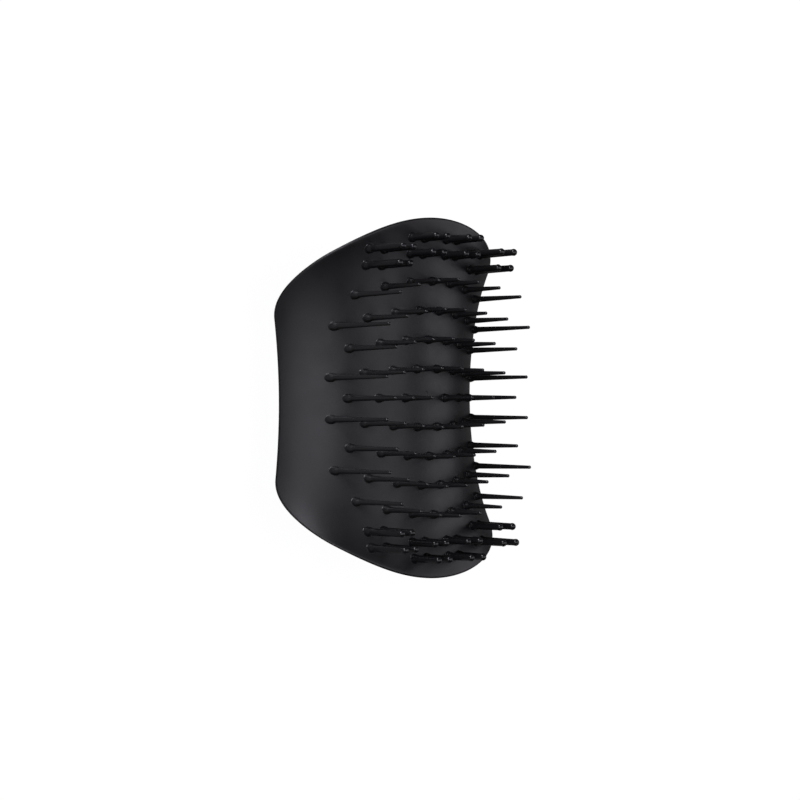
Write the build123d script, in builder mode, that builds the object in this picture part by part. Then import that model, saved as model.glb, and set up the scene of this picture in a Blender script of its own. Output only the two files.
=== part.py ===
from build123d import *
from math import asin, atan2, copysign, cos, degrees, radians, sin, sqrt
import os

# Scalp massager brush.
#
# A closed shell that sits in the palm: a saddle-shaped tooth face over a domed grip, with
# nine staggered rows of thin scalp teeth and eight clusters of thick massage teeth.
# X runs across the brush, Y along it, and the teeth point up, along +Z. The brush rests on a
# small flat on the grip, and the origin is in the middle of that flat. Millimetres.

os.makedirs("parts", exist_ok=True)

# ---- driving dimensions: outline seen from above --------------------------------------
length = 89.5
waist_width = 63.4
shoulder_width = 66.9
shoulder_station = 22.4  # Y of the widest place
end_radius = 44.7

# ---- driving dimensions: tooth face and grip ------------------------------------------
crown_height = 31.0  # crown of the face above the resting flat
face_span_middle, face_span_loss = 39.4, 5.9  # half-axis of the section, across
face_depth_middle, face_depth_loss = 46.3, 40.1  # half-axis of the section, down
crown_rise, crown_fall = 5.3, 0.8  # the crown line rises towards the ends
face_wall = 1.8
grip_wall = 2.4  # measured upwards
rim_wall = 2.6
rim_band = 0.5  # visible edge of the face shell above the seam
grip_band = 0.3  # visible edge of the grip cover below the seam
grip_bottom = crown_height - 32.0  # lowest point of the dome, before the flat is cut
grip_power = 2.8  # how late the dome turns up towards the ends
gate_radius, gate_depth = 0.75, 0.12  # round witness mark where the middle tooth is missing
gate_place = (-0.3, 1.0)
probe = 0.01  # step for measuring slopes

# ---- driving dimensions: teeth --------------------------------------------------------
last_row = 4  # rows are numbered from -4 to 4
row_spacing = 7.265
tooth_pitch = 6.77
row_bow_base, row_bow_growth = 0.093, 0.080  # outer teeth step back towards the middle
tip_height, tip_rise_across, tip_rise_along = 9.4, 0.00435, 0.00323  # over the crown
massage_clusters = ((5.65, 37.6), (16.9, 34.55))  # centres in one quarter
massage_pitch = (3.85, 3.95)
massage_tip_height, massage_tip_slope, massage_tip_station = 11.5, 0.3, 36.4
runner_width, runner_thickness = 2.4, 0.8  # strip behind the wall that joins a row
pad_margin = 2.2  # a cluster's pad is this much wider and longer than its pitch
bore_clearance = 0.02
foot_overlap = 0.2  # how far a tooth runs on past the middle of its runner
tip_turn = 35  # degrees round the ball tip of the point that guides its arc


class Tooth:
    """Radii and heights of one kind of tooth."""

    def __init__(self, root, neck, tip, flare, flare_height, plug):
        self.root = root
        self.neck = neck
        self.tip = tip
        self.flare = flare
        self.flare_height = flare_height
        self.plug = plug


scalp_tooth = Tooth(root=0.72, neck=0.41, tip=0.43, flare=1.1, flare_height=2.2, plug=0.55)
massage_tooth = Tooth(root=0.92, neck=0.82, tip=0.9, flare=1.2, flare_height=1.6, plug=0.8)

# ---- outline arcs worked out from the widths ------------------------------------------
half_length = length / 2
half_waist = waist_width / 2
half_shoulder = shoulder_width / 2
end_centre_y = half_length - end_radius
corner_rise = shoulder_station - end_centre_y
corner_radius = (end_radius**2 - half_shoulder**2 - corner_rise**2) / (
    2 * (end_radius - half_shoulder)
)
corner_x = half_shoulder - corner_radius
waist_step = half_waist - corner_x
side_radius = (waist_step**2 + shoulder_station**2 - corner_radius**2) / (
    2 * (corner_radius - waist_step)
)
side_centre_x = half_waist + side_radius
end_angle = degrees(atan2(corner_x, corner_rise))
side_angle = degrees(asin(shoulder_station / (side_radius + corner_radius)))
corner_start_y = end_centre_y + end_radius * cos(radians(end_angle))
side_end_y = side_radius * sin(radians(side_angle))


def half_width_squared(y):
    """Square of the outline's half width. It runs on smoothly below zero past the ends."""
    y = abs(y)
    if y > corner_start_y:
        return end_radius**2 - (y - end_centre_y) ** 2
    if y > side_end_y:
        return (corner_x + sqrt(corner_radius**2 - (y - shoulder_station) ** 2)) ** 2
    return (side_centre_x - sqrt(side_radius**2 - y**2)) ** 2


def face_section(y):
    """Half-axes of the elliptic section of the tooth face, and the height of its crown."""
    t = (y / half_length) ** 2
    crown = crown_height + crown_rise * t - crown_fall * t**2
    return face_span_middle - face_span_loss * t, face_depth_middle - face_depth_loss * t, crown


def face_height_squared(x_squared, y):
    span, depth, crown = face_section(y)
    return crown - depth * (1 - sqrt(1 - x_squared / span**2))


def face_height(x, y):
    return face_height_squared(x * x, y)


def seam_height(y):
    """Height of the seam between the two shells, a rim band below the edge of the face."""
    return face_height_squared(half_width_squared(y), y) - rim_band


def grip_height(x, y):
    """Underside of the dome: it meets the outline a grip band below the seam."""
    edge = seam_height(y) - grip_band
    end = seam_height(half_length) - grip_band
    keel = grip_bottom + (end - grip_bottom) * (abs(y) / half_length) ** grip_power
    return keel + (edge - keel) * x * x / half_width_squared(y)


def inset(point_at, u, v, distance):
    """A point moved off a surface along its normal."""
    point = point_at(u, v)
    along_u = point_at(u + probe, v) - point_at(u - probe, v)
    along_v = point_at(u, v + probe) - point_at(u, v - probe)
    return point + along_u.cross(along_v).normalized() * distance


def face_point(angle, y):
    span, depth, crown = face_section(y)
    a = radians(angle)
    return Vector(span * sin(a), y, crown - depth * (1 - cos(a)))


def grip_point(x, y):
    return Vector(x, y, grip_height(x, y))


def stations(limit, count):
    """Evenly spaced values from -limit to limit."""
    return [limit * (2 * i / (count - 1) - 1) for i in range(count)]


def surface(point_at, u_values, v_values, distance=0.0):
    """A smooth face through the points of a formula, set in by a distance."""
    rows = [[inset(point_at, u, v, distance) for u in u_values] for v in v_values]
    return Face.make_surface_from_array_of_points(rows, tol=0.002, min_deg=3, max_deg=6)


# The face is followed by angle across, the grip by distance. Both run past the outline.
# Each pair is the reach to both sides, in degrees or millimetres, and the number of points.
face_across, face_along = (80.0, 31), (46.6, 31)
grip_across, grip_along = (36.0, 25), (46.0, 36)
seam_along = (46.5, 32)
block_height = 90.0  # longer than the brush in any direction

face_angles, face_stations = stations(*face_across), stations(*face_along)
grip_columns, grip_stations = stations(*grip_across), stations(*grip_along)

face_outside = surface(face_point, face_angles, face_stations)
face_inside = surface(face_point, face_angles, face_stations, -face_wall)
runner_inside = surface(face_point, face_angles, face_stations, -face_wall - runner_thickness)
grip_outside = surface(grip_point, grip_columns, grip_stations)


def outline(inward=0.0):
    """The outline, set in by a distance, in the active sketch."""
    corner_angle = 90 - end_angle + side_angle
    with BuildLine() as boundary:
        CenterArc((0, end_centre_y), end_radius - inward, 90 - end_angle, end_angle)
        CenterArc(
            (corner_x, shoulder_station), corner_radius - inward, -side_angle, corner_angle
        )
        CenterArc((side_centre_x, 0), side_radius + inward, 180 - side_angle, side_angle)
        mirror(about=Plane.XZ)
        mirror(about=Plane.YZ)
    make_face(boundary.edges())


# ---- blocks that the pieces are cut from ----------------------------------------------
with BuildPart() as under_face:
    extrude(face_outside, amount=block_height, dir=(0, 0, -1))

with BuildPart() as under_wall:
    extrude(face_inside, amount=block_height, dir=(0, 0, -1))

with BuildPart() as runner_layer:
    add(under_wall.part)
    extrude(runner_inside, amount=2 * block_height, dir=(0, 0, -1), mode=Mode.SUBTRACT)

with BuildPart() as over_grip:
    extrude(grip_outside, amount=block_height, dir=(0, 0, 1))

with BuildPart() as over_grip_wall:
    extrude(Pos(0, 0, grip_wall) * grip_outside, amount=block_height, dir=(0, 0, 1))

with BuildPart() as envelope:
    with BuildSketch():
        outline()
    extrude(amount=block_height / 2)
    add(under_face.part, mode=Mode.INTERSECT)
    add(over_grip.part, mode=Mode.INTERSECT)

with BuildPart() as cavity:
    with BuildSketch():
        outline(rim_wall)
    extrude(amount=block_height / 2)
    add(under_wall.part, mode=Mode.INTERSECT)
    add(over_grip_wall.part, mode=Mode.INTERSECT)
    with BuildSketch(Plane.XY.offset(grip_wall)):
        Rectangle(length, length)
    extrude(amount=-block_height, mode=Mode.SUBTRACT)

with BuildPart() as above_seam:
    with BuildSketch(Plane.YZ):
        with BuildLine():
            seam = Spline([(y, seam_height(y)) for y in stations(*seam_along)])
            top = block_height
            Polyline(seam @ 0, (-length, top), (length, top), seam @ 1)
        make_face()
    extrude(amount=length, both=True)


# ---- where the teeth stand ------------------------------------------------------------
def scalp_row(row):
    """Feet of the teeth of one row: 8 teeth in odd rows, 7 in even ones."""
    count = 8 if row % 2 else 7
    side = copysign(1, row) if row else 0
    feet = []
    for i in range(count):
        step = i - (count - 1) / 2
        if row == 0 and step == 0:
            continue
        bow = side * (row_bow_base + row_bow_growth * abs(row)) * step**2
        feet.append((tooth_pitch * step, row_spacing * row - bow))
    return feet


def massage_cluster(centre):
    """Feet of the four teeth of one cluster."""
    dx, dy = massage_pitch[0] / 2, massage_pitch[1] / 2
    return [(centre[0] + i * dx, centre[1] + j * dy) for i in (-1, 1) for j in (-1, 1)]


def scalp_tip(x, y):
    return crown_height + tip_height + tip_rise_across * x**2 + tip_rise_along * y**2


def massage_tip(x, y):
    along = massage_tip_slope * (abs(y) - massage_tip_station)
    return crown_height + massage_tip_height + along + tip_rise_across * x**2


def root_depth(x, y):
    """How far below its foot a tooth runs, to end inside the runner behind the wall."""
    slope = (face_height(x + probe, y) - face_height(x - probe, y)) / (2 * probe)
    return (face_wall + runner_thickness / 2) * sqrt(1 + slope**2) + foot_overlap


def add_tooth(kind, x, y, tip_z):
    """One tooth in the active part: a flared root, a tapered shaft and a ball tip."""
    root_z = face_height(x, y)
    foot_z = root_z - root_depth(x, y)
    ball_z = tip_z - kind.tip
    neck_z = ball_z - sqrt(kind.tip**2 - kind.neck**2)
    shaft_z = root_z + kind.flare_height
    with BuildSketch(Plane((x, y, 0), x_dir=(1, 0, 0), z_dir=(0, -1, 0))) as profile:
        with BuildLine():
            Polyline((0, tip_z), (0, foot_z), (kind.flare, foot_z), (kind.flare, root_z))
            Bezier(
                (kind.flare, root_z),
                (kind.flare, root_z + kind.flare_height * 0.5),
                (kind.root, root_z + kind.flare_height * 0.5),
                (kind.root, shaft_z),
            )
            Line((kind.root, shaft_z), (kind.neck, neck_z))
            ThreePointArc(
                (kind.neck, neck_z),
                (kind.tip * cos(radians(tip_turn)), ball_z + kind.tip * sin(radians(tip_turn))),
                (0, tip_z),
            )
        make_face()
    revolve(profile.sketch, axis=Axis((x, y, 0), (0, 0, 1)))


def add_bores(feet, radius, mode):
    """Upright round bores through the whole height, one under each tooth."""
    with BuildSketch() as section:
        with Locations(feet):
            Circle(radius)
    extrude(section.sketch, amount=block_height, mode=mode)


rows = {row: scalp_row(row) for row in range(-last_row, last_row + 1)}
corners = {
    "front_right": (1, 1),
    "front_left": (-1, 1),
    "rear_right": (1, -1),
    "rear_left": (-1, -1),
}
clusters = {
    f"{place}_{corner}": massage_cluster((side * centre[0], end * centre[1]))
    for corner, (side, end) in corners.items()
    for place, centre in zip(("inner", "outer"), massage_clusters)
}

# ---- face shell: wall of the tooth face, with a bore under each tooth ------------------
with BuildPart() as face_shell:
    add(envelope.part)
    add(cavity.part, mode=Mode.SUBTRACT)
    add(above_seam.part, mode=Mode.INTERSECT)
    with BuildSketch(Plane.XY.offset(crown_height - gate_depth)):
        with Locations(gate_place):
            Circle(gate_radius)
    extrude(amount=1, mode=Mode.SUBTRACT)
    add_bores(sum(rows.values(), []), scalp_tooth.plug + bore_clearance, Mode.SUBTRACT)
    add_bores(sum(clusters.values(), []), massage_tooth.plug + bore_clearance, Mode.SUBTRACT)
face_shell.part.label = "face_shell"
export_step(face_shell.part, "parts/face_shell.step")

# ---- grip cover: the dome that sits in the palm ----------------------------------------
with BuildPart() as grip_cover:
    add(envelope.part)
    add(cavity.part, mode=Mode.SUBTRACT)
    add(above_seam.part, mode=Mode.SUBTRACT)
grip_cover.part.label = "grip_cover"
export_step(grip_cover.part, "parts/grip_cover.step")


def tooth_piece(kind, feet, tip, runner, name):
    """A runner behind the wall, and teeth that pass through the wall's bores."""
    with BuildPart() as socket:
        add(under_face.part)
        add_bores(feet, kind.plug, Mode.SUBTRACT)
    with BuildPart() as piece:
        for x, y in feet:
            add_tooth(kind, x, y, tip(x, y))
        add(socket.part, mode=Mode.SUBTRACT)
        add(runner)
    piece.part.label = name
    export_step(piece.part, f"parts/{name}.step")


# ---- strips of thin scalp teeth --------------------------------------------------------
for row, feet in rows.items():
    with BuildPart() as runner:
        with BuildSketch():
            with BuildLine():
                Spline(feet)
            trace(line_width=runner_width)
            with Locations(feet[0], feet[-1]):
                Circle(runner_width / 2)
        extrude(amount=block_height)
        add(runner_layer.part, mode=Mode.INTERSECT)
    name = f"scalp_teeth_row_{row + last_row + 1}"
    tooth_piece(scalp_tooth, feet, scalp_tip, runner.part, name)

# ---- clusters of thick massage teeth ---------------------------------------------------
for place, feet in clusters.items():
    centre = (sum(x for x, y in feet) / len(feet), sum(y for x, y in feet) / len(feet))
    with BuildPart() as pad:
        with BuildSketch():
            with Locations(centre):
                RectangleRounded(
                    massage_pitch[0] + pad_margin, massage_pitch[1] + pad_margin, pad_margin / 2
                )
        extrude(amount=block_height)
        add(runner_layer.part, mode=Mode.INTERSECT)
    tooth_piece(massage_tooth, feet, massage_tip, pad.part, f"massage_teeth_{place}")
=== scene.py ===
"""Looks of the scalp massager brush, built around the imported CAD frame.

Shapes are worked out in millimetres from the same dimensions as the CAD and written to
the meshes in metres. X runs across the brush, Y along it, teeth point up, origin in the
middle of the resting flat.
"""

from math import acos, asin, atan2, cos, pi, radians, sin, sqrt

import bmesh
import bpy
import numpy as np
from mathutils import Matrix, Vector


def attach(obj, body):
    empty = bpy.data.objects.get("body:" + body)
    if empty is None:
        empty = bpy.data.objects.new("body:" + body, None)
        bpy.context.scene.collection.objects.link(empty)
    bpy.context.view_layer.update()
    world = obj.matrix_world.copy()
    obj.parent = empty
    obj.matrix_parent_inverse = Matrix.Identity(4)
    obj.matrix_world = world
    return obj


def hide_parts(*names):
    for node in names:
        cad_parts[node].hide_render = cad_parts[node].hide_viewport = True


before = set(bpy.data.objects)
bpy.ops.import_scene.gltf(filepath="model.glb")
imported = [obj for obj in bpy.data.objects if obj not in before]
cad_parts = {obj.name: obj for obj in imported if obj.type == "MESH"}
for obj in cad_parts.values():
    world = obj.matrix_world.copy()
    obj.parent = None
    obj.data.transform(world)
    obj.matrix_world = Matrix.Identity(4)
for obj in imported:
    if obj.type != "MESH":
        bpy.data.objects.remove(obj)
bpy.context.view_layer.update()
MM = 0.001

# ---- dimensions shared with the CAD, in millimetres ---------------------------------
length, waist_width, shoulder_width = 89.5, 63.4, 66.9
shoulder_station, end_radius = 22.4, 44.7
crown_height = 31.0
face_span_middle, face_span_loss = 39.4, 5.9
face_depth_middle, face_depth_loss = 46.3, 40.1
crown_rise, crown_fall = 5.3, 0.8
rim_band, grip_band = 0.5, 0.3
grip_bottom, grip_power = crown_height - 32.0, 2.8
gate_radius, gate_depth, gate_place = 0.75, 0.12, (-0.3, 1.0)
last_row, row_spacing, tooth_pitch = 4, 7.265, 6.77
row_bow_base, row_bow_growth = 0.093, 0.080
tip_height, tip_rise_across, tip_rise_along = 9.4, 0.00435, 0.00323
massage_clusters = ((5.65, 37.6), (16.9, 34.55))
massage_pitch = (3.85, 3.95)
massage_tip_height, massage_tip_slope, massage_tip_station = 11.5, 0.3, 36.4
face_wall, runner_width, runner_thickness, pad_margin = 1.8, 2.4, 0.8, 2.2

# ---- dimensions of the visible detail, in millimetres ---------------------------------
flat_softness = 0.15  # how gently the dome turns into its resting flat
face_edge_radius, grip_edge_radius = 0.45, 1.2
runner_clearance = 0.1  # the runners are drawn this much inside the CAD's
plug_overlap = 0.2  # how far a plug runs on above the face, inside its tooth

half_length, half_waist, half_shoulder = length / 2, waist_width / 2, shoulder_width / 2
end_centre_y = half_length - end_radius
corner_rise = shoulder_station - end_centre_y
corner_radius = (end_radius**2 - half_shoulder**2 - corner_rise**2) / (
    2 * (end_radius - half_shoulder)
)
corner_x = half_shoulder - corner_radius
waist_step = half_waist - corner_x
side_radius = (waist_step**2 + shoulder_station**2 - corner_radius**2) / (
    2 * (corner_radius - waist_step)
)
side_centre_x = half_waist + side_radius
end_angle = atan2(corner_x, corner_rise)
side_angle = asin(shoulder_station / (side_radius + corner_radius))
corner_start_y = end_centre_y + end_radius * cos(end_angle)
side_end_y = side_radius * sin(side_angle)


# ---- surfaces ------------------------------------------------------------------------
def half_width_squared(y):
    y = np.abs(y)
    end = end_radius**2 - (y - end_centre_y) ** 2
    corner_step = np.sqrt(np.maximum(corner_radius**2 - (y - shoulder_station) ** 2, 0))
    corner = (corner_x + corner_step) ** 2
    side = (side_centre_x - np.sqrt(np.maximum(side_radius**2 - y**2, 0))) ** 2
    return np.where(y > corner_start_y, end, np.where(y > side_end_y, corner, side))


def face_height_squared(x_squared, y):
    t = (y / half_length) ** 2
    span = face_span_middle - face_span_loss * t
    depth = face_depth_middle - face_depth_loss * t
    crown = crown_height + crown_rise * t - crown_fall * t**2
    return crown - depth * (1 - np.sqrt(np.maximum(1 - x_squared / span**2, 0)))


def face_height(x, y):
    return face_height_squared(x * x, y)


def seam_height(y):
    return face_height_squared(half_width_squared(y), y) - rim_band


def grip_height(x, y):
    edge = seam_height(y) - grip_band
    end = seam_height(half_length) - grip_band
    keel = grip_bottom + (end - grip_bottom) * (np.abs(y) / half_length) ** grip_power
    return keel + (edge - keel) * x * x / np.maximum(half_width_squared(y), 1e-6)


def grip_floor(x, y):
    """The dome with its resting flat, softened where the two meet."""
    z = grip_height(x, y)
    return (z + np.sqrt(z * z + flat_softness**2)) / 2


def slope(height, x, y, step=0.01):
    across = (height(x + step, y) - height(x - step, y)) / (2 * step)
    along = (height(x, y + step) - height(x, y - step)) / (2 * step)
    return across, along


def outline(count):
    """Points round the outline, clockwise from the rear end, and their inward normals."""
    corner_angle = pi / 2 - end_angle + side_angle
    arcs = (end_radius * end_angle, corner_radius * corner_angle, side_radius * side_angle)
    quarter = sum(arcs)
    points, normals = [], []
    for i in range(count):
        s = 4 * quarter * i / count
        q = int(s // quarter)
        t = s - q * quarter
        if q % 2:
            t = quarter - t
        if t < arcs[0]:
            a = pi / 2 - t / end_radius
            p, n = (end_radius * cos(a), end_centre_y + end_radius * sin(a)), (-cos(a), -sin(a))
        elif t < arcs[0] + arcs[1]:
            a = pi / 2 - end_angle - (t - arcs[0]) / corner_radius
            p = (corner_x + corner_radius * cos(a), shoulder_station + corner_radius * sin(a))
            n = (-cos(a), -sin(a))
        else:
            a = pi - side_angle + (t - arcs[0] - arcs[1]) / side_radius
            p = (side_centre_x + side_radius * cos(a), side_radius * sin(a))
            n = (cos(a), sin(a))
        mx, my = ((1, 1), (1, -1), (-1, -1), (-1, 1))[q % 4]
        points.append((p[0] * mx, p[1] * my))
        normals.append((n[0] * mx, n[1] * my))
    return np.array(points), np.array(normals)


# ---- mesh helpers --------------------------------------------------------------------
def loft(loops, first=None, last=None):
    """Vertices and faces of closed loops joined in order, with a point to close each end."""
    n = len(loops[0])
    verts = [tuple(p) for loop in loops for p in loop]
    faces = []
    for k in range(len(loops) - 1):
        a, b = k * n, (k + 1) * n
        faces += [(a + i, a + (i + 1) % n, b + (i + 1) % n, b + i) for i in range(n)]
    if first is not None:
        verts.append(tuple(first))
        c = len(verts) - 1
        faces += [(c, (i + 1) % n, i) for i in range(n)]
    if last is not None:
        verts.append(tuple(last))
        c, a = len(verts) - 1, (len(loops) - 1) * n
        faces += [(c, a + i, a + (i + 1) % n) for i in range(n)]
    return verts, faces


def add_piece(name, parts, material, nodes, edges=None):
    """One object from (vertices, faces) parts in millimetres. It stands for the CAD nodes."""
    verts, faces = [], []
    for v, f in parts:
        base = len(verts)
        verts += [(x * MM, y * MM, z * MM) for x, y, z in v]
        faces += [tuple(base + i for i in face) for face in f]
    mesh = bpy.data.meshes.new(name)
    mesh.from_pydata(verts, [], faces)
    bm = bmesh.new()
    bm.from_mesh(mesh)
    bmesh.ops.recalc_face_normals(bm, faces=bm.faces)
    bm.to_mesh(mesh)
    bm.free()
    mesh.polygons.foreach_set("use_smooth", [True] * len(mesh.polygons))
    # The optional 'edge' weights carry the lighter rim colour: a painted highlight together
    # with edge wear.
    if edges is not None:
        layer = mesh.attributes.new("edge", "FLOAT", "POINT")
        layer.data.foreach_set("value", np.array(edges, np.float32))
    mesh.materials.append(material)
    piece = bpy.data.objects.new(name, mesh)
    bpy.context.scene.collection.objects.link(piece)
    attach(piece, "root")
    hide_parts(*nodes)
    return piece


# ---- materials -----------------------------------------------------------------------
def plastic(name, dark, light, rough, grain, grain_scale, specular, rim_sheen_and_wear=None):
    """Moulded plastic: uneven pigment, handled patches in the gloss, a fine grain, and where
    asked a lighter rim that is a painted highlight along the edge as well as edge wear.
    """
    material = bpy.data.materials.new(name)
    material.use_nodes = True
    tree = material.node_tree
    shader = tree.nodes["Principled BSDF"]
    link = tree.links.new

    def noise(scale, detail, rough_value=0.5):
        node = tree.nodes.new("ShaderNodeTexNoise")
        node.inputs["Scale"].default_value = scale
        node.inputs["Detail"].default_value = detail
        node.inputs["Roughness"].default_value = rough_value
        link(coords.outputs["Object"], node.inputs["Vector"])
        return node

    coords = tree.nodes.new("ShaderNodeTexCoord")
    cloud = noise(55.0, 3.0)
    colour = tree.nodes.new("ShaderNodeMix")
    colour.data_type = "RGBA"
    colour.inputs["A"].default_value = (*dark, 1)
    colour.inputs["B"].default_value = (*light, 1)
    link(cloud.outputs["Fac"], colour.inputs["Factor"])
    result = colour.outputs["Result"]
    # Lighter colour where the 'edge' attribute is set: a painted highlight along the rolled rim
    # and seam, together with edge wear.
    if rim_sheen_and_wear:
        edge = tree.nodes.new("ShaderNodeAttribute")
        edge.attribute_name = "edge"
        rim_sheen_and_wear_mix = tree.nodes.new("ShaderNodeMix")
        rim_sheen_and_wear_mix.data_type = "RGBA"
        rim_sheen_and_wear_mix.inputs["B"].default_value = (*rim_sheen_and_wear, 1)
        link(edge.outputs["Fac"], rim_sheen_and_wear_mix.inputs["Factor"])
        link(result, rim_sheen_and_wear_mix.inputs["A"])
        result = rim_sheen_and_wear_mix.outputs["Result"]
    link(result, shader.inputs["Base Color"])

    patch = noise(120.0, 4.0, 0.6)
    gloss = tree.nodes.new("ShaderNodeMapRange")
    gloss.inputs["From Min"].default_value = 0.3
    gloss.inputs["From Max"].default_value = 0.7
    gloss.inputs["To Min"].default_value = rough[0]
    gloss.inputs["To Max"].default_value = rough[1]
    link(patch.outputs["Fac"], gloss.inputs["Value"])
    link(gloss.outputs["Result"], shader.inputs["Roughness"])

    fine = noise(grain_scale, 2.0)
    bump = tree.nodes.new("ShaderNodeBump")
    bump.inputs["Strength"].default_value = 1.0
    bump.inputs["Distance"].default_value = grain
    link(fine.outputs["Fac"], bump.inputs["Height"])
    link(bump.outputs["Normal"], shader.inputs["Normal"])
    shader.inputs["Specular IOR Level"].default_value = specular
    return material


charcoal = (0.0055, 0.0053, 0.0060), (0.0075, 0.0073, 0.0082)
# Both rims are painted lighter: a painted highlight along the rolled edge, with some edge wear.
face_plastic = plastic(
    "charcoal_face", *charcoal, (0.35, 0.43), 0.000006, 2600.0, 0.5,
    rim_sheen_and_wear=(0.016, 0.0155, 0.017),
)
grip_plastic = plastic(
    "charcoal_grip", *charcoal, (0.44, 0.56), 0.000010, 2200.0, 0.5,
    rim_sheen_and_wear=(0.014, 0.0135, 0.015),
)
tooth_plastic = plastic(
    "charcoal_teeth", (0.0130, 0.0127, 0.0136), (0.0170, 0.0166, 0.0178),
    (0.26, 0.34), 0.000002, 3200.0, 0.75,
)
massage_plastic = plastic(
    "charcoal_massage_teeth", (0.0100, 0.0097, 0.0105), (0.0140, 0.0136, 0.0147),
    (0.10, 0.15), 0.0000015, 3200.0, 0.5,
)


# ---- face shell and grip cover -------------------------------------------------------
rim, inward = outline(480)
middle = np.array(gate_place)
heading = (rim - middle) / np.hypot(*(rim - middle).T)[:, None]


def with_height(xy, z):
    return np.column_stack([xy, np.broadcast_to(z, len(xy))])


def rolled_edge(height, radius, up, steps=6):
    """Loops that roll from a surface into the upright band, and where the surface ends."""
    x, y = rim[:, 0], rim[:, 1]
    step = 0.05
    near = rim + inward * 2 * step
    rise = up * (height(near[:, 0], near[:, 1]) - height(x, y)) / (2 * step)
    pitch = np.arctan(rise)
    turn = pi / 2 - pitch
    tangent = radius * np.tan(turn / 2)
    top = height(x, y)
    loops = []
    for k in range(steps + 1):
        a = turn * (1 - k / steps)
        xy = rim + inward * (radius * (1 - np.cos(a)))[:, None]
        loops.append(with_height(xy, top + up * (radius * np.sin(a) - tangent)))
    end = rim + inward * (tangent * np.cos(pitch))[:, None]
    return end, loops


def spread(end, height, gate=None, rings=64, first=1.4):
    """Loops from the middle of a surface out to its end loop."""
    loops = []
    for r in (0.25, 0.5, 0.65, 0.69, 0.71, 0.73, 0.75, 0.77, 0.81, 0.9, 1.1):
        xy = middle + heading * r
        z = height(xy[:, 0], xy[:, 1])
        if gate:
            s = min(max((r - (gate_radius - 0.06)) / 0.08, 0), 1)
            z = z - gate * (1 - s * s * (3 - 2 * s))
        loops.append(with_height(xy, z))
    for k in range(rings):
        f = k / rings
        xy = (middle + heading * first) * (1 - f) + end * f
        loops.append(with_height(xy, height(xy[:, 0], xy[:, 1])))
    return loops


def shell(height, radius, up, gate=0.0, skin=0.9, lip=0.12):
    """A dished shell: outer surface, rolled edge, band down to the seam, and inside."""
    end, edge = rolled_edge(height, radius, up)
    loops = spread(end, height, gate) + edge
    # Weights of the lighter rim colour, highest on the rolled edge: a painted highlight there,
    # with edge wear.
    rim_sheen_and_wear_weights = [0.0] * (len(loops) - len(edge)) + [0.25, 0.8, 1, 1, 1, 0.8, 0.25]
    seam = seam_height(rim[:, 1])
    # The lip just under the band is painted lighter too: a painted highlight along the seam
    # groove.
    groove = (
        (0.0, 2 * lip, 0),
        (0.25 * lip, 1.3 * lip, 1),
        (lip, 0.5 * lip, 0.3),
        (lip * 2, 0.2 * lip, 0),
    )
    for inset_by, gap, flag in groove:
        loops.append(with_height(rim + inward * inset_by, seam + up * gap))
        rim_sheen_and_wear_weights.append(flag)
    loops.append(with_height(rim + inward * 1.8, seam + up * 0.2 * lip))
    rim_sheen_and_wear_weights.append(0)
    inner = rim + inward * 2.4
    for f in (1.0, 0.96, 0.88, 0.76, 0.6, 0.4, 0.2, 0.08):
        xy = middle + (inner - middle) * f
        across, along = slope(height, xy[:, 0], xy[:, 1])
        z = height(xy[:, 0], xy[:, 1]) - up * skin * np.sqrt(1 + across**2 + along**2)
        loops.append(with_height(xy, z))
        rim_sheen_and_wear_weights.append(0)
    z0 = float(height(middle[:1], middle[1:])[0])
    verts, faces = loft(loops, (*middle, z0 - up * gate), (*middle, z0 - up * skin))
    edges = [f for f in rim_sheen_and_wear_weights for _ in range(len(rim))] + [0, 0]
    return (verts, faces), edges


face_part, face_edges = shell(face_height, face_edge_radius, 1, gate_depth)
add_piece("face_panel", [face_part], face_plastic, ["face_shell"], face_edges)
grip_part, grip_edges = shell(grip_floor, grip_edge_radius, -1)
add_piece("grip_dome", [grip_part], grip_plastic, ["grip_cover"], grip_edges)


# ---- teeth ---------------------------------------------------------------------------
class Tooth:
    """Radii and heights of one kind of tooth, as in the CAD."""

    def __init__(self, root, neck, tip, flare, flare_height, plug, sides):
        self.root = root
        self.neck = neck
        self.tip = tip
        self.flare = flare
        self.flare_height = flare_height
        self.plug = plug
        self.sides = sides


thin = Tooth(root=0.72, neck=0.41, tip=0.43, flare=1.1, flare_height=2.2, plug=0.5, sides=28)
thick = Tooth(root=0.92, neck=0.82, tip=0.9, flare=1.2, flare_height=1.6, plug=0.75, sides=40)


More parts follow.
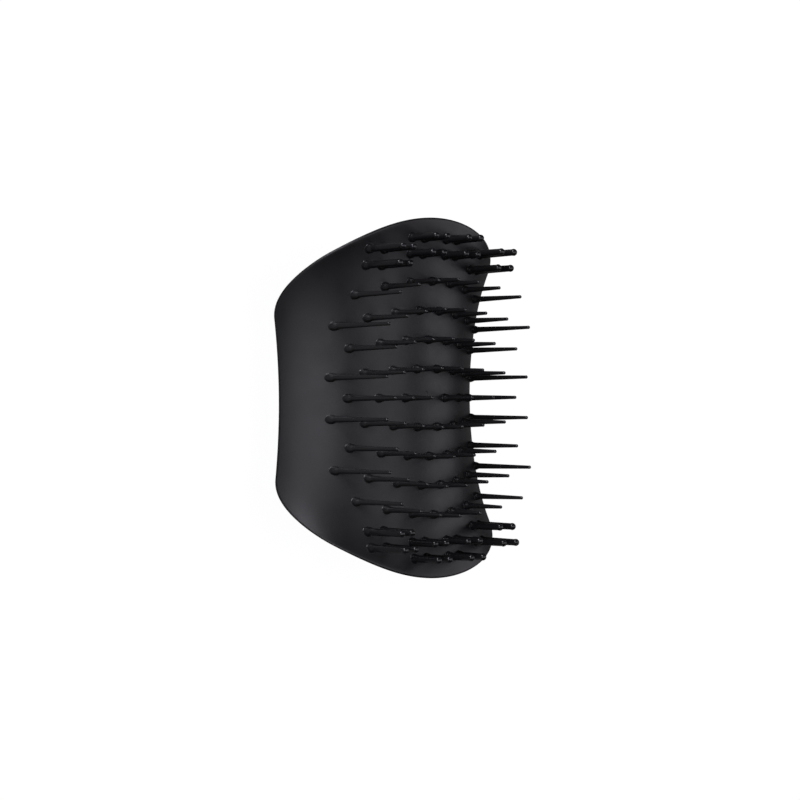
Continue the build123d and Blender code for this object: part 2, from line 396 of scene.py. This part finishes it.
def tooth(kind, x, y, tip_z, fillet=0.16):
    """A rounded boss that rises from the face, a tapered shaft and a ball tip."""
    angles = np.arange(kind.sides) * 2 * pi / kind.sides
    root_z = float(face_height(x, y))
    ball_z = tip_z - kind.tip
    neck_z = ball_z - sqrt(kind.tip**2 - kind.neck**2)
    shaft_h = kind.flare_height
    # (radius, height above the root, how far the ring follows the slope of the face)
    rings = [
        (kind.flare + fillet, -0.06, 1),
        (kind.flare + fillet * 0.4, 0.0, 1),
        (kind.flare + fillet * 0.1, 0.06, 1),
    ]
    for k in range(15):
        f = k / 14
        ease = f * f * (3 - 2 * f)
        r = kind.flare + (kind.root - kind.flare) * ease
        h = shaft_h * (0.06 + 0.94 * (1.5 * f * (1 - f) ** 2 + 1.5 * f * f * (1 - f) + f**3))
        rings.append((r, h, (1 - min(h / shaft_h * 1.7, 1)) ** 1.5))
    steps = 14
    for k in range(1, steps + 1):
        f = k / steps
        r = kind.root + (kind.neck - kind.root) * f
        rings.append((r, shaft_h + (neck_z - root_z - shaft_h) * f, 0))
    start = -acos(kind.neck / kind.tip)
    for k in range(1, 10):
        a = start + (pi / 2 - start) * k / 10
        rings.append((kind.tip * cos(a), ball_z + kind.tip * sin(a) - root_z, 0))
    loops = []
    for r, h, follow in rings:
        px, py = x + r * np.cos(angles), y + r * np.sin(angles)
        z = root_z + h + follow * (face_height(px, py) - root_z)
        loops.append(with_height(np.column_stack([px, py]), z))
    low = float(loops[0][:, 2].min()) - 0.2
    return loft(loops, (x, y, low), (x, y, tip_z))


def runner(points):
    """The hidden strip behind the wall that joins the teeth of a row."""
    loops = []
    for (x, y), side in points:
        sx = float(slope(face_height, x, y)[0])
        k = sqrt(1 + sx * sx)
        top = float(face_height(x, y)) - face_wall * k
        low = top - runner_thickness * k
        front, rear = y + side, y - side
        loops.append([(x, rear, top), (x, front, top), (x, front, low), (x, rear, low)])
    c0, c1 = np.mean(loops[0], axis=0), np.mean(loops[-1], axis=0)
    return loft(loops, c0, c1)


def plug(x, y, radius, sides=16):
    """The part of a tooth inside its bore, down to the runner."""
    sx = float(slope(face_height, x, y)[0])
    depth = (face_wall + runner_thickness / 2) * sqrt(1 + sx * sx)
    z = float(face_height(x, y))
    angles = np.arange(sides) * 2 * pi / sides
    xy = np.column_stack([x + radius * np.cos(angles), y + radius * np.sin(angles)])
    low, high = z - depth, z + plug_overlap
    return loft([with_height(xy, low), with_height(xy, high)], (x, y, low), (x, y, high))


def scalp_row(row):
    count = 8 if row % 2 else 7
    side = (row > 0) - (row < 0)
    feet = []
    for i in range(count):
        step = i - (count - 1) / 2
        if row == 0 and step == 0:
            continue
        bow = side * (row_bow_base + row_bow_growth * abs(row)) * step**2
        feet.append((tooth_pitch * step, row_spacing * row - bow))
    return feet


for row in range(-last_row, last_row + 1):
    feet = scalp_row(row)
    parts = []
    for x, y in feet:
        rise = tip_rise_across * x**2 + tip_rise_along * y**2
        tip = crown_height + tip_height + rise
        parts.append(tooth(thin, x, y, tip))
        parts.append(plug(x, y, thin.plug))
    path = []
    for k in range(41):
        x = feet[0][0] + (feet[-1][0] - feet[0][0]) * k / 40
        y = float(np.interp(x, [p[0] for p in feet], [p[1] for p in feet]))
        path.append(((x, y), runner_width / 2 - runner_clearance))
    parts.append(runner(path))
    number = row + last_row + 1
    node = f"scalp_teeth_row_{number}"
    add_piece(f"thin_teeth_{number}", parts, tooth_plastic, [node])

corners = {
    "front_right": (1, 1),
    "front_left": (-1, 1),
    "rear_right": (1, -1),
    "rear_left": (-1, -1),
}
for corner, (side, end) in corners.items():
    for place, (cx, cy) in zip(("inner", "outer"), massage_clusters):
        cx, cy = side * cx, end * cy
        parts = []
        for i in (-0.5, 0.5):
            for j in (-0.5, 0.5):
                x, y = cx + i * massage_pitch[0], cy + j * massage_pitch[1]
                along = massage_tip_slope * (abs(y) - massage_tip_station)
                tip = crown_height + massage_tip_height + along + tip_rise_across * x**2
                parts.append(tooth(thick, x, y, tip))
                parts.append(plug(x, y, thick.plug))
        half = (massage_pitch[0] + pad_margin) / 2 - runner_clearance
        reach = (massage_pitch[1] + pad_margin) / 2 - runner_clearance
        path = [((cx - half + 2 * half * k / 10, cy), reach) for k in range(11)]
        parts.append(runner(path))
        node = f"massage_teeth_{place}_{corner}"
        add_piece(f"thick_teeth_{place}_{corner}", parts, massage_plastic, [node])

# ---- floor ---------------------------------------------------------------------------
bpy.ops.mesh.primitive_plane_add(size=12.0, location=(0, 0, 0))
floor = bpy.context.object
floor.name = "floor"
paper = bpy.data.materials.new("white_paper")
paper.use_nodes = True
paper_shader = paper.node_tree.nodes["Principled BSDF"]
paper_shader.inputs["Base Color"].default_value = (0.12, 0.12, 0.12, 1)
paper_shader.inputs["Emission Color"].default_value = (1, 1, 1, 1)
paper_shader.inputs["Roughness"].default_value = 0.9
paper_shader.inputs["Specular IOR Level"].default_value = 0.1
floor.data.materials.append(paper)

# ---- camera --------------------------------------------------------------------------
view_angle, tilt, roll = radians(42.84), radians(-0.10), radians(-0.41)
distance, focal_length = 0.5187, 93.366
v = Vector((-sin(view_angle), 0, cos(view_angle)))
u = Vector((0, 1, 0))
r = Vector((cos(view_angle), 0, sin(view_angle)))
back = v * cos(tilt) + u * sin(tilt)
up = u * cos(tilt) - v * sin(tilt)
right = r * cos(roll) + up * sin(roll)
top = up * cos(roll) - r * sin(roll)
target = Vector((0, 0, crown_height * MM))
camera_data = bpy.data.cameras.new("camera")
camera_data.lens = focal_length
camera_data.sensor_width = 36.0
camera_data.shift_x = -0.0337
camera_data.shift_y = -0.00256
camera_data.clip_start = 0.01
camera = bpy.data.objects.new("camera", camera_data)
bpy.context.scene.collection.objects.link(camera)
turned = Matrix((right, top, back)).transposed().to_4x4()
camera.matrix_world = Matrix.Translation(target + back * distance) @ turned
bpy.context.scene.camera = camera


# ---- light ---------------------------------------------------------------------------
lamp_distance = 0.8
lamp_tint = (1.0, 0.975, 1.06)


def soft_box(name, direction, size, power):
    light = bpy.data.lights.new(name, "AREA")
    light.shape = "RECTANGLE"
    light.size, light.size_y = size
    light.energy = power
    light.color = lamp_tint
    lamp = bpy.data.objects.new(name, light)
    bpy.context.scene.collection.objects.link(lamp)
    towards = Vector(direction).normalized()
    lamp.location = target + towards * lamp_distance
    lamp.rotation_euler = towards.to_track_quat("Z", "Y").to_euler()
    return lamp


def around(across, along):
    """A direction leaning left by the first angle and towards the rear by the second."""
    a, b = radians(across), radians(along)
    return (-sin(a) * cos(b), sin(b), cos(a) * cos(b))


# A plain studio: a low key from the upper left, two fills and a large overhead.
# Name, lean, size in metres, power in watts.
for name, lean, size, power in (
    ("key", (80, 45), 0.4, 4.0),
    ("left_fill", (55, 0), 0.5, 1.5),
    ("overhead", (0, 0), 0.6, 1.5),
    ("right_fill", (-55, 0), 0.5, 1.0),
):
    soft_box(name, around(*lean), (size, size), power)

# The paper and the room are white to the eye and dim in the reflections.
world = bpy.data.worlds.new("studio")
bpy.context.scene.world = world
world.use_nodes = True
for tree, node, name, dim in (
    (world.node_tree, world.node_tree.nodes["Background"], "Strength", 0.0),
    (paper.node_tree, paper_shader, "Emission Strength", 0.05),
):
    path = tree.nodes.new("ShaderNodeLightPath")
    seen = tree.nodes.new("ShaderNodeMix")
    seen.inputs["A"].default_value = dim
    seen.inputs["B"].default_value = 1.0 if name == "Strength" else 0.96
    tree.links.new(path.outputs["Is Camera Ray"], seen.inputs["Factor"])
    tree.links.new(seen.outputs["Result"], node.inputs[name])
world.node_tree.nodes["Background"].inputs["Color"].default_value = (1, 1, 1, 1)

bpy.context.scene.view_settings.view_transform = "Standard"
